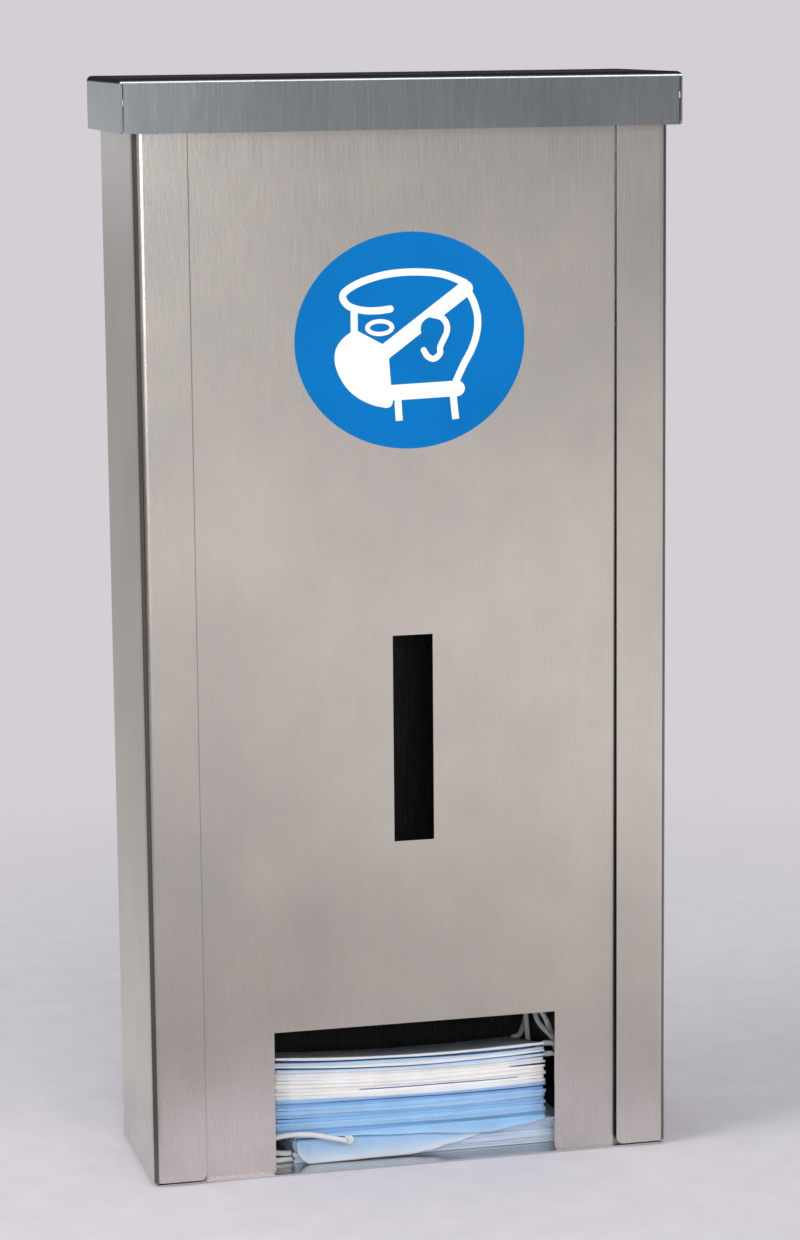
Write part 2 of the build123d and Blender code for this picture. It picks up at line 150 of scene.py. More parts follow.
def sweep_faces(steps, ring, flipped=False):
    """Faces of a closed strip of rings, with both ends closed."""
    faces = []
    for step in range(steps):
        for k in range(ring):
            a, b = step * ring + k, step * ring + (k + 1) % ring
            faces.append((a, b, b + ring, a + ring) if flipped else (a, a + ring, b + ring, b))
    ends = [tuple(range(ring)), tuple(steps * ring + k for k in reversed(range(ring)))]
    return faces + [end[::-1] if flipped else end for end in ends]


def map_points(piece, name, places):
    """Keep a flat place on the cloth, in millimetres, for each point of a piece."""
    mapping = piece.data.uv_layers.new(name=name)
    for corner, loop in zip(mapping.data, piece.data.loops):
        corner.uv = places[loop.vertex_index]


# %% [markdown]
# ## Stainless steel sheet
# The cabinet is folded from cold rolled stainless sheet with a brushed finish: a belt has drawn fine
# scratches along the sheet, so its grain runs upright, it reflects softly, and it shows broad cloudy
# patches where the belt pressed differently. A metal gets all its colour from its reflections and its
# base colour, so the base stays a warm light grey. Noise stretched fiftyfold along Z draws the grain.
# It is 0.6 mm wide, several times coarser than the real scratches, so that it shows. A second noise
# draws streaks about 8 mm wide, and a third one clouds of about 80 mm.

# %% Brushed stainless steel
GRAIN, STREAK, CLOUD = 1700.0, 120.0, 12.0  # features to the metre
GRAIN_STRETCH, STREAK_STRETCH = 0.02, 0.15
# The cabinet's inner space, in metres, whose faces get painted shade: its middle and half its size, with no
# end above or below
INNER_MIDDLE, INNER_HALF = (0.0, 0.002, 0.34), (0.1641, 0.0581, 1.0)
SEAM_SHADE_OUTER, SEAM_SHADE_INNER = 0.0007, 0.0014  # the line of painted shade beside a flange's edge, in metres


def brushed_steel(name, base, shade, roughness, grain_axis=2, streakiness=0.12, inside_shade=1.0, seam=None):
    """Brushed stainless sheet between two hex colours, its grain along one axis.

    The value of inside_shade is the share of colour that the inner faces keep, as painted shade for the dark
    inside of the closed cabinet, and the value of seam is how far from the middle the flanges lie over the
    sheet, where a line of painted shade darkens it."""
    material, tree, output = new_material(name)
    place = add_node(tree, "TexCoord").outputs["Object"]
    grain_place, streak_place = [add_node(tree, "Mapping", {
        "Vector": place, "Scale": [stretch if i == grain_axis else 1.0 for i in range(3)]})
        for stretch in (GRAIN_STRETCH, STREAK_STRETCH)]
    grain = add_node(tree, "TexNoise", {
        "Vector": grain_place, "Scale": GRAIN, "Detail": 4.0, "Roughness": 0.55})
    clouds = add_node(tree, "TexNoise", {
        "Vector": place, "Scale": CLOUD, "Detail": 4.0, "Roughness": 0.55})
    streaks = add_node(tree, "TexNoise", {
        "Vector": streak_place, "Scale": STREAK, "Detail": 3.0})
    cloud_tone = add_node(tree, "MapRange", {
        "Value": clouds, "From Min": 0.35, "From Max": 0.65, "To Max": 0.7})
    streak_tone = add_node(tree, "MapRange", {
        "Value": streaks, "From Min": 0.3, "From Max": 0.7, "To Max": streakiness})
    grain_tone = add_node(tree, "MapRange", {
        "Value": grain, "From Min": 0.3, "From Max": 0.7, "To Min": -0.04, "To Max": 0.08})
    tone = add_node(tree, "Math", {0: cloud_tone, 1: streak_tone}, operation="ADD")
    tone_with_grain = add_node(tree, "Math", {
        0: tone, 1: grain_tone}, operation="ADD", use_clamp=True)
    colour = add_node(tree, "Mix", {
        "Factor": tone_with_grain, 6: linear(base), 7: linear(shade)}, data_type="RGBA")
    colour_socket = colour.outputs[2]
    # Painted shade: the cabinet's inner faces are darkened, as little light gets into the closed cabinet
    if inside_shade < 1.0:
        # How far a point lies outside the inner space, by the larger of its two distances
        middle = add_node(tree, "VectorMath", {0: place, 1: INNER_MIDDLE}, operation="SUBTRACT")
        reach = add_node(tree, "VectorMath", {0: middle}, operation="ABSOLUTE")
        over = add_node(tree, "VectorMath", {
            0: reach, 1: INNER_HALF}, operation="SUBTRACT")
        parts = add_node(tree, "SeparateXYZ", {"Vector": over})
        largest = add_node(tree, "Math", {
            0: parts.outputs["X"], 1: parts.outputs["Y"]}, operation="MAXIMUM")
        outside = add_node(tree, "MapRange", {
            "Value": largest, "From Max": 0.0002, "To Min": inside_shade, "To Max": 1.0})
        inside_shaded = add_node(tree, "Mix", {
            "Factor": outside, 6: (0.0, 0.0, 0.0, 1.0), 7: colour_socket}, data_type="RGBA")
        colour_socket = inside_shaded.outputs[2]
    # Painted shade: a dark line on the panel just inside each flange's edge, where the flange shades it
    if seam:
        across = add_node(tree, "SeparateXYZ", {"Vector": place})
        from_middle = add_node(tree, "Math", {0: across.outputs["X"]}, operation="ABSOLUTE")
        seam_shade = add_node(tree, "MapRange", {
            "Value": from_middle, "From Min": seam - SEAM_SHADE_INNER, "From Max": seam - SEAM_SHADE_OUTER,
            "To Min": 1.0, "To Max": 0.4})
        seam_shaded = add_node(tree, "Mix", {
            "Factor": seam_shade, 6: (0.0, 0.0, 0.0, 1.0), 7: colour_socket}, data_type="RGBA")
        colour_socket = seam_shaded.outputs[2]
    gloss = add_node(tree, "MapRange", {
        "Value": grain, "From Min": 0.3, "From Max": 0.7,
        "To Min": roughness - 0.02, "To Max": roughness + 0.03})
    scratches = add_node(tree, "Bump", {
        "Height": grain, "Strength": 0.03, "Distance": 0.00003})
    shader = add_node(tree, "BsdfPrincipled", {
        "Base Color": colour_socket, "Metallic": 1.0, "Roughness": gloss,
        "Normal": scratches})
    tree.links.new(shader.outputs["BSDF"], output.inputs["Surface"])
    return material


cabinet_steel = brushed_steel("brushed_steel_cabinet", "#E0D9D3", "#CFCAC6", 0.27, inside_shade=0.25)
panel_steel = brushed_steel("brushed_steel_panel", "#E0D9D3", "#CFCAC6", 0.27, seam=0.132)
lid_steel = brushed_steel("brushed_steel_lid", "#B0B5B8", "#9EA4A7", 0.25, streakiness=0.08)
tray_steel = brushed_steel("brushed_steel_tray", "#D9D7D6", "#C9C8C8", 0.22)
# The guides stand in the dark inside of the closed cabinet: their dark base is partly mill finish and partly
# painted shade
shaded_inner_steel = brushed_steel("mill_steel_guides_painted_shade", "#6E6A66", "#605D5A", 0.42)
hinge_steel = brushed_steel("drawn_steel_hinge", "#C4C2BF", "#B0AEAB", 0.30, grain_axis=0)


def paint_nodes(material, *names):
    """Give CAD nodes a material in place of their own."""
    for name in names:
        mesh = nodes[name].data
        mesh.materials.clear()
        mesh.materials.append(material)


def break_edges(width, *names):
    """Round the cut edges of sheet nodes a little, as a deburring wheel does."""
    for name in names:
        bevel = nodes[name].modifiers.new("deburred_edges", "BEVEL")
        bevel.width = width * MM
        bevel.segments = 2
        bevel.limit_method = "ANGLE"
        bevel.angle_limit = math.radians(50)
        bevel.use_clamp_overlap = False
        nodes[name].modifiers.new("flat_faces_first", "WEIGHTED_NORMAL").keep_sharp = True


paint_nodes(cabinet_steel, "cabinet_shell")
paint_nodes(panel_steel, "front_panel")
paint_nodes(tray_steel, "base_tray")
paint_nodes(lid_steel, "lid")
paint_nodes(shaded_inner_steel, "left_panel_guide", "right_panel_guide", "left_stack_guide", "right_stack_guide")
paint_nodes(hinge_steel, "hinge_body_leaf", "hinge_lid_leaf", "hinge_pin")
break_edges(0.22, "cabinet_shell", "front_panel", "lid", "base_tray")
print("sheet nodes with deburred edges", 4)

# %% [markdown]
# ## Ear loops
# A mask's ear loop is a limp elastic cord, knitted as a flat tube, 3.4 mm across. The points are those
# of the solid's route. A NURBS curve of order 3 runs smoothly between them, and a ribbed tube follows
# that curve: two shallow grooves run along it, where the knitted tube has been pressed flat.

# %% Routes of the ear loops, in millimetres
LOOP_DIAMETER = 3.4
LOOP_GIRTH = 10  # round the cord, about its diameter times pi
LOOP_LEFT = [
    (-39.5, -42.7, 15.0), (-54.0, -42.7, 19.4), (-68.5, -42.9, 22.2), (-80.0, -42.5, 22.0),
    (-88.5, -40.7, 19.8), (-94.0, -37.5, 16.8), (-96.4, -33.7, 13.8), (-94.4, -30.5, 11.0),
    (-89.4, -29.5, 8.8), (-83.8, -30.3, 7.4), (-78.3, -32.25, 6.96), (-73.69, -32.25, 6.96),
]
LOOP_FLOOR = [
    (-72.8, -32.14, 3.0), (-77.4, -32.14, 3.0), (-84.4, -33.4, 3.0), (-91.5, -30.5, 3.0),
    (-96.0, -23.5, 3.0), (-96.8, -12.5, 3.0), (-95.2, 0.5, 3.0), (-96.4, 13.5, 3.0),
    (-93.5, 25.5, 3.0), (-85.8, 34.3, 3.0), (-77.4, 37.76, 3.0), (-72.8, 37.76, 3.0),
]
LOOP_UPPER = [
    (91.08, -30.84, 64.65), (95.67, -30.8, 64.85), (99.6, -29.3, 63.2), (101.9, -25.1, 62.4),
    (101.0, -19.9, 64.2), (97.6, -14.1, 68.0), (94.3, -6.5, 71.8), (93.8, 0.0, 79.5),
    (95.4, 8.0, 86.5), (98.0, 16.5, 89.6), (99.8, 25.5, 86.6), (100.4, 33.5, 78.4),
    (100.5, 40.0, 67.5), (100.2, 44.7, 57.0), (98.7, 46.7, 50.4), (96.55, 46.1, 47.08),
    (91.96, 46.13, 46.88),
]
LOOP_LOWER = [
    (91.02, -31.75, 57.89), (95.6, -31.72, 58.05), (99.4, -30.1, 57.2), (101.9, -25.9, 56.2),
    (102.5, -19.7, 57.2), (102.4, -14.1, 61.2), (101.3, -11.5, 67.6), (98.4, -11.9, 75.4),
    (93.9, -9.1, 82.6), (90.8, -1.5, 88.5), (90.2, 7.0, 90.5), (91.3, 13.5, 85.5),
    (92.6, 15.9, 77.0), (93.3, 16.1, 68.0), (94.3, 17.1, 59.0), (95.8, 20.5, 51.0),
    (97.6, 26.3, 46.2), (99.3, 31.9, 43.8), (99.0, 37.3, 43.2), (96.27, 40.72, 43.22),
    (91.68, 40.74, 43.06),
]


# %% Knitted elastic and the tube that follows a route
STITCH_STEP = 0.9


def knitted_elastic():
    """White polyester elastic: fine diagonal stitches over a soft matt surface."""
    material, tree, output = new_material("knitted_elastic_white")
    coordinates = add_node(tree, "TexCoord")
    sides = add_node(tree, "SeparateXYZ", {"Vector": coordinates.outputs["UV"]})
    # Stitches every 0.9 mm along the cord, slanting over its width
    slant = add_node(tree, "Math", {
        0: sides.outputs["Y"], 1: 0.35, 2: sides.outputs["X"]}, operation="MULTIPLY_ADD")
    stitches = add_node(tree, "Math", {
        0: add_node(tree, "Math", {0: slant, 1: 2 * math.pi / STITCH_STEP}, operation="MULTIPLY")},
        operation="SINE")
    fuzz = add_node(tree, "TexNoise", {
        "Vector": coordinates.outputs["Object"], "Scale": 1500.0, "Detail": 3.0})
    height = add_node(tree, "Math", {
        0: stitches, 1: 0.35, 2: fuzz}, operation="MULTIPLY_ADD")
    # Painted shade: the low parts between the stitches are painted grey on the white elastic, and the fuzz
    # adds random tone
    tone = add_node(tree, "MapRange", {
        "Value": height, "From Min": 0.1, "From Max": 0.9})
    colour = ramp(tree, tone, [(0.0, "#C9CBCC"), (1.0, "#F1F0EC")])
    bump = add_node(tree, "Bump", {"Height": height, "Strength": 0.5, "Distance": 0.0002})
    shader = add_node(tree, "BsdfPrincipled", {
        "Base Color": colour, "Roughness": 0.85, "Normal": bump,
        "Sheen Weight": 0.25, "Subsurface Weight": 0.1, "Subsurface Radius": (0.002, 0.002, 0.002)})
    tree.links.new(shader.outputs["BSDF"], output.inputs["Surface"])
    return material


elastic = knitted_elastic()


def route_line(name, points):
    """Points along the NURBS curve that has a route's points as its control points."""
    curve = bpy.data.curves.new(name + "_route", "CURVE")
    curve.dimensions = "3D"
    spline = curve.splines.new("NURBS")
    spline.points.add(len(points) - 1)
    for point, place in zip(spline.points, points):
        point.co = (*[v * MM for v in place], 1.0)
    spline.order_u = 3
    spline.use_endpoint_u = True
    spline.resolution_u = 10
    holder = bpy.data.objects.new(name + "_route", curve)
    scene.collection.objects.link(holder)
    line = bpy.data.meshes.new_from_object(holder)
    places = [v.co.copy() for v in line.vertices]
    bpy.data.objects.remove(holder)
    bpy.data.meshes.remove(line)
    return places


def cord_profile(angle):
    """Radius share around the cord, with a groove along each flat side."""
    return 1.0 - 0.10 * math.exp(-((math.sin(angle)) ** 2) * 30) - 0.05 * (1 + math.cos(6 * angle)) / 2


def ribbed_tube(name, line, radius, sides=28):
    """A tube with grooves that follows a line without twisting."""
    points, lengths = [], [0.0]
    side = Vector((0, 0, 1))
    for i, place in enumerate(line):
        ahead = (line[min(i + 1, len(line) - 1)] - line[max(i - 1, 0)]).normalized()
        side = (side - ahead * side.dot(ahead)).normalized()
        across = ahead.cross(side)
        if i:
            lengths.append(lengths[-1] + (place - line[i - 1]).length)
        for k in range(sides):
            angle = 2 * math.pi * k / sides
            reach = radius * cord_profile(angle)
            points.append(place + side * (math.cos(angle) * reach) + across * (math.sin(angle) * reach))
    faces = sweep_faces(len(line) - 1, sides, flipped=True)
    piece = make_piece(name, points, faces, elastic)
    map_points(piece, "along", [(length / MM, k / sides * LOOP_GIRTH)
                                for length in lengths for k in range(sides)])
    return piece, lengths[-1]


# Rings of the pad: share of its half length and height, and share of its thickness
PAD_RINGS = [(1.0, 0.0), (1.0, 0.5), (0.9, 0.85), (0.55, 1.0)]


def weld_pad(name, place, half_length, half_height, thickness, sides=32):
    """The flat oval where a loop's end is pressed and welded onto the fabric."""
    points = []
    for share, rise in PAD_RINGS:
        for k in range(sides):
            angle = 2 * math.pi * k / sides
            points.append(Vector(((place[0] + half_length * share * math.cos(angle)) * MM,
                                  (place[1] - thickness * rise) * MM,
                                  (place[2] + half_height * share * math.sin(angle)) * MM)))
    faces = sweep_faces(len(PAD_RINGS) - 1, sides, flipped=True)
    make_piece(name, points, faces, elastic)


weld_pad("ear_loop_left_pad", (-38.6, -41.05, 15.2), 3.6, 3.0, 0.5)

for name, route in (("ear_loop_left", LOOP_LEFT), ("ear_loop_floor", LOOP_FLOOR),
                    ("ear_loop_upper", LOOP_UPPER), ("ear_loop_lower", LOOP_LOWER)):
    line = route_line(name, route)
    loop, loop_length = ribbed_tube(name + "_elastic", line, LOOP_DIAMETER / 2 * MM)
    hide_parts(name)
    print(name, "length", round(loop_length / MM, 1), "mm")

# %% [markdown]
# ## Masks
# A pleated mask is three layers of spunbond and meltblown polypropylene, welded together along its
# edges. Spunbond is soft and slightly translucent, with tiny pressed dots. One face is blue and the
# other white, and the hem that carries the nose wire is folded over, so that each front edge in the
# stack shows two or three rounded layers of either colour. The mesh of a mask is one long strip: a
# section with its hem, its pleats and its thin back edge, repeated along the bow that the mask lies
# in. A value stored on each point says how blue it is, and above 1 how much painted shade it has.

# %% Spunbond fabric
DOTS = 0.9  # pressed dots to the millimetre, so 1.1 mm apart
WELD_ALONG, WELD_UP = 1.8, 1.5  # steps of the ultrasonic weld marks, in millimetres
WELD_FROM, WELD_FULL = 78.0, 79.0  # from the mask's middle: the last 9 mm of either end


def spunbond(name, white_hex, blue_hex):
    """Non-woven polypropylene whose colour follows the stored blueness, with painted shade where it goes
    above 1.
    """
    material, tree, output = new_material(name)
    blueness_and_shade = add_node(tree, "Attribute", attribute_name="blueness_and_shade")
    coordinates = add_node(tree, "TexCoord")
    along, place = coordinates.outputs["UV"], coordinates.outputs["Object"]
    fibres = add_node(tree, "TexNoise", {
        "Vector": place, "Scale": 900.0, "Detail": 4.0, "Roughness": 0.65})
    clouds = add_node(tree, "TexNoise", {"Vector": place, "Scale": 60.0, "Detail": 2.0})
    dots = add_node(tree, "TexVoronoi", {"Vector": along, "Scale": DOTS, "Randomness": 0.15})
    dimple = add_node(tree, "MapRange", {
        "Value": dots, "From Min": 0.1, "From Max": 0.3})
    # Blueness 0 is white and 1 is blue; from 1 to 2 it is painted shade, down to the deep blue of a shaded
    # gap
    half = add_node(tree, "Math", {0: blueness_and_shade.outputs["Fac"], 1: 0.5}, operation="MULTIPLY")
    base = ramp(tree, half, [(0.0, white_hex), (0.5, blue_hex), (0.75, "#5C86C4"), (1.0, "#24406F")])
    light = add_node(tree, "MapRange", {
        "Value": clouds, "From Min": 0.3, "From Max": 0.7, "To Min": 0.93, "To Max": 1.04})
    speckle = add_node(tree, "MapRange", {
        "Value": fibres, "From Min": 0.3, "From Max": 0.7, "To Min": 0.96, "To Max": 1.04})
    both = add_node(tree, "Math", {0: light, 1: speckle}, operation="MULTIPLY")
    dimmed = add_node(tree, "Math", {0: dimple, 1: 0.05, 2: 0.95}, operation="MULTIPLY_ADD")
    sides = add_node(tree, "SeparateXYZ", {"Vector": along})
    from_middle = add_node(tree, "Math", {0: sides.outputs["X"]}, operation="ABSOLUTE")
    at_end = add_node(tree, "MapRange", {
        "Value": from_middle, "From Min": WELD_FROM, "From Max": WELD_FULL})
    waves = []
    for axis, step in (("X", WELD_ALONG), ("Y", WELD_UP)):
        phase = add_node(tree, "Math", {
            0: sides.outputs[axis], 1: round(2 * math.pi / step, 2)}, operation="MULTIPLY")
        waves.append(add_node(tree, "Math", {0: phase}, operation="SINE"))
    weld = add_node(tree, "Math", {0: waves[0], 1: waves[1]}, operation="MULTIPLY")
    weld_mark = add_node(tree, "MapRange", {
        "Value": weld, "From Min": 0.35, "From Max": 0.6, "To Max": 0.3})
    weld_dim = add_node(tree, "Math", {0: weld_mark, 1: at_end}, operation="MULTIPLY")
    weld_tone = add_node(tree, "Math", {0: 1.0, 1: weld_dim}, operation="SUBTRACT")
    cloth_value = add_node(tree, "Math", {0: both, 1: dimmed}, operation="MULTIPLY")
    value = add_node(tree, "Math", {0: cloth_value, 1: weld_tone}, operation="MULTIPLY")
    colour = add_node(tree, "HueSaturation", {"Color": base, "Value": value})
    height = add_node(tree, "Math", {
        0: fibres, 1: 0.4, 2: dimple}, operation="MULTIPLY_ADD")
    bump = add_node(tree, "Bump", {"Height": height, "Strength": 0.35, "Distance": 0.00012})
    shader = add_node(tree, "BsdfPrincipled", {
        "Base Color": colour, "Roughness": 0.8, "Sheen Weight": 0.2,
        "Subsurface Weight": 0.4, "Subsurface Radius": (0.002, 0.0025, 0.003), "Subsurface Scale": 1.0,
        "Normal": bump})
    tree.links.new(shader.outputs["BSDF"], output.inputs["Surface"])
    return material


spunbond_mask = spunbond("spunbond_mask", "#F6F5F2", "#93C1F0")

# %% Where each mask lies
MASK_COUNT = 28
MASK_LENGTH, MASK_WIDTH = 175.0, 95.0
HEM_THICKNESS, BACK_THICKNESS = 2.05, 1.25
HEM_WIDTH, PLEAT_WIDTH, PLEAT_STEP = 12.0, 18.0, 0.45
END_WIDTH, END_THICKNESS = 9.0, 0.9
FLOOR = 1.2
STACK_FRONT = -38.0
GAP = 0.28
PITCH = HEM_THICKNESS + GAP
TAPER = (HEM_THICKNESS - BACK_THICKNESS) / MASK_WIDTH
CUTOUT_OFFSET = 2.7
SLIP = 0.9  # how far the masks stray from each other
SLIPPED, SLIPPED_SHIFT = 7, 12.0  # the lowest masks lie farther to the right
END_RISE_LEFT, END_RISE_RIGHT = 4.3, 1.2  # how far the bow lifts the top mask's ends


def mask_place(index):
    """Middle, front, height, fall, and the rises of the left and the right end."""
    share = index / (MASK_COUNT - 1)
    fall = index * TAPER
    middle = CUTOUT_OFFSET + (SLIPPED_SHIFT if index < SLIPPED else 0) + SLIP * math.sin(2.4 * index)
    set_back = SLIP * math.sin(1.7 * index + 1)
    height = FLOOR + 0.15 + index * PITCH - set_back * math.tan(fall)
    sag = 0.1 * (1 + share)
    rises = sag + share * END_RISE_LEFT, sag + share * END_RISE_RIGHT
    return middle, STACK_FRONT + set_back, height, fall, *rises


def between(table, x):
    """Read a table of (x, value), softly from row to row."""
    if x <= table[0][0]:
        return table[0][1]
    for (x0, v0), (x1, v1) in zip(table, table[1:]):
        if x <= x1:
            share = (x - x0) / (x1 - x0)
            share = share * share * (3 - 2 * share)
            return v0 + (v1 - v0) * share
    return table[-1][1]


# Open gaps between the front hems, by the number of the mask below, in millimetres along X
OPEN_GAPS = {
    27: [(-85, 1.25), (-40, 0.8), (0, 0.85), (45, 1.5), (80, 1.3), (90, 0.8)],
    25: [(-85, 0.8), (-20, 0.55), (30, 0.35), (70, 0.35), (80, 0.7), (90, 0.9)],
    24: [(65, 0.05), (78, 0.35), (90, 0.5)],
    22: [(62, 0.05), (76, 0.55), (88, 0.9)],
    19: [(-45, 0.05), (-20, 0.3), (40, 0.35), (88, 0.15)],
    16: [(-70, 0.03), (-45, 0.25), (10, 0.4), (60, 0.55), (88, 0.5)],
    13: [(20, 0.03), (60, 0.2), (88, 0.25)],
    12: [(-88, 0.45), (-60, 0.2), (-30, 0.12)],
}


CALM, LIVELY = 0.018, 0.054  # faint gaps, in millimetres: between the lower masks, and between the others


def hem_gap(boundary, x):
    """Gap over the front hem of a mask at a place along it."""
    if boundary in (0, MASK_COUNT):
        return 0.0
    strength = CALM if 7 < boundary < 17 else LIVELY
    faint = 0.02 + strength * max(0.0, math.sin(0.055 * x + 2.3 * boundary))
    if boundary in OPEN_GAPS:
        return max(faint, between(OPEN_GAPS[boundary], x))
    return faint


def hem_wave(boundary, x):
    """How far the boundary between two hems lies above its even place."""
    if boundary in (0, MASK_COUNT):
        return 0.0
    return 0.26 * math.sin(0.04 * x + 1.7 * boundary) + 0.06 * math.sin(0.1 * x + 2.9 * boundary)


# Blueness of a hem at its lower and its upper edge, with painted shade next to the open gaps
HEM_BLUENESS = {
    28: (0.3, 0.1), 27: (0.3, 1.0), 26: (0.0, 0.25), 25: (0.25, 0.85), 24: (0.08, 0.22), 23: (0.0, 0.06),
    19: (0.05, 0.0), 18: (0.3, 0.15), 17: (1.2, 0.5), 16: (1.0, 1.3), 15: (0.9, 0.95),
}


def hem_blueness(number):
    """White hems above, blue ones below, and the table's own where the stack has a fold, with painted shade
    by the gaps.
    """
    if number in HEM_BLUENESS:
        return HEM_BLUENESS[number]
    if number >= 18:
        return (0.0, 0.04)
    if number >= 8:
        return (0.95 + 0.12 * math.sin(2.1 * number), 0.95 + 0.12 * math.sin(2.1 * number + 2.1))
    return (0.5, 0.55)


# Rows up the front of a hem: share of its height, and how far the edge draws back there
HEM_ROWS = [(0.0, 1.0), (0.06, 0.5), (0.16, 0.15), (0.32, 0.0), (0.44, 0.03), (0.5, 0.14), (0.56, 0.03),
            (0.68, 0.0), (0.84, 0.15), (0.94, 0.5), (1.0, 1.0)]
PLEAT_FOLDS = [HEM_WIDTH + PLEAT_WIDTH * pleat for pleat in range(4)]


def back_of_section():
    """Points of a mask's section behind its hem: over the pleats, round the back, and underneath."""
    section = []
    for fold in PLEAT_FOLDS:
        crest = HEM_THICKNESS - TAPER * fold - 0.05
        section += [(fold - 5.0, crest - 0.12), (fold - 1.0, crest), (fold - 0.15, crest - 0.1),
                    (fold, crest - PLEAT_STEP * 0.6), (fold + 0.5, crest - PLEAT_STEP)]
    section += [(MASK_WIDTH - 6, BACK_THICKNESS - 0.1), (MASK_WIDTH - 0.3, BACK_THICKNESS - 0.25),
                (MASK_WIDTH, 0.6), (MASK_WIDTH - 0.3, 0.1), (MASK_WIDTH - 6, 0.05)]
    for fold in reversed(PLEAT_FOLDS):
        section += [(fold - 5.0, 0.06), (fold - 6.0, 0.28)]
    return section


def store_mask_values(mask, blueness_and_shade, uvs):
    """Keep each point's blueness, which also holds its painted shade, and its place on the fabric, in
    millimetres.
    """
    values = mask.data.attributes.new("blueness_and_shade", "FLOAT", "POINT")
    values.data.foreach_set("value", blueness_and_shade)
    map_points(mask, "fabric", uvs)


HEM_LAND = 5.0  # depth of the hem's flat top and foot
PLIES_SHOW = 17  # above this mask the slit between a hem's two plies is deep
OPEN, GAP_SHADE_LIMIT = 0.2, 2.0  # painted shade: a hem edge beside a gap wider than this is darkened, down to this blueness
EASE_FROM, EASE = 1.5, 3.0  # the pressed ends and the hem run into the rest over this length


def clamped(value):
    return min(1.0, max(0.0, value))


def build_mask(number, stations=100):
    """One mask of the stack as a swept strip, with its ends pressed thin."""
    index = number - 1
    middle, front, height, fall, left_rise, right_rise = mask_place(index)
    low_blue, high_blue = hem_blueness(number)
    rear = back_of_section()
    # The bow is a parabola through the left end, the middle and the right end.
    tilt, curve = (right_rise - left_rise) / 2, (right_rise + left_rise) / 2
    points, blueness_and_shade, uvs = [], [], []
    for station in range(stations + 1):
        t = 2 * station / stations - 1
        x = t * MASK_LENGTH / 2
        world_x = middle + x
        from_end = MASK_LENGTH / 2 - abs(x)
        pressed = clamped((from_end - END_WIDTH + EASE_FROM) / EASE)
        gap_below, gap_above = hem_gap(number - 1, world_x), hem_gap(number, world_x)
        bottom, top = 0.0, HEM_THICKNESS
        if number > 1:
            bottom += hem_wave(number - 1, world_x) - GAP / 2 + gap_below / 2
        if number < MASK_COUNT:
            top += hem_wave(number, world_x) + GAP / 2 - gap_above / 2
        bulge = 0.2 + 0.2 * math.sin(0.04 * x + number * 0.8)
        row_points = []
        for share, back in HEM_ROWS:
            gap = gap_below if share < 0.5 else gap_above
            if 0.4 < share < 0.6:
                depth = bulge + back * (0.4 if number > PLIES_SHOW else 0.1)
            else:
                depth = bulge + back * (0.06 + 0.7 * gap)
            blue = low_blue + (high_blue - low_blue) * share
            # Painted shade: beside an open gap the hem's edge is turned deep blue, as the shadow in the gap
            if gap > OPEN and back >= 0.5:
                blue = max(blue, min(GAP_SHADE_LIMIT, 1.1 + 2.0 * gap) * back)
            row_points.append((depth, bottom + (top - bottom) * share, blue))
        row_points.append((HEM_LAND, min(top, HEM_THICKNESS - 0.03), high_blue))
        row_points += [(depth, h, 0.75 if h > 0.5 else 0.1) for depth, h in rear]
        row_points.append((HEM_LAND, max(bottom, 0.05), low_blue))
        around = 0.0
        last = row_points[0]
        for depth, h, blue in row_points:
            around += math.hypot(depth - last[0], h - last[1])
            last = (depth, h)
            ceiling = max(0.2, HEM_THICKNESS - TAPER * depth)
            flat = (BACK_THICKNESS - END_THICKNESS) / 2 + END_THICKNESS * h / ceiling
            behind_hem = clamped((depth - EASE_FROM) / EASE)
            h_here = h + (flat - h) * (1 - pressed) * behind_hem * 0.9
            points.append((
                world_x * MM,
                (front + depth * math.cos(fall) + h_here * math.sin(fall)) * MM,
                (height + tilt * t + curve * t * t - depth * math.sin(fall) + h_here * math.cos(fall)) * MM,
            ))
            blueness_and_shade.append(blue)
            uvs.append((x, around))
    ring = len(points) // (stations + 1)
    faces = sweep_faces(stations, ring)
    mask = make_piece(f"mask_{number:02d}_fabric", points, faces, spunbond_mask)
    store_mask_values(mask, blueness_and_shade, uvs)
    return mask


masks = [build_mask(number) for number in range(1, MASK_COUNT + 1)]
for number, mask in enumerate(masks, 1):
    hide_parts(f"mask_{number:02d}")
print("masks", MASK_COUNT, "triangles each", 2 * len(masks[0].data.polygons))

# %% [markdown]
# ## The mask that hangs down
# The seventh mask's front has slipped over the masks below it and hangs down to the tray, like a
# skirt. It is a curved sheet, 1.1 mm thick, with a rounded lower edge, and its outline is given by the
# height of its upper and its lower edge at each place along it. The eighth mask sags over it.

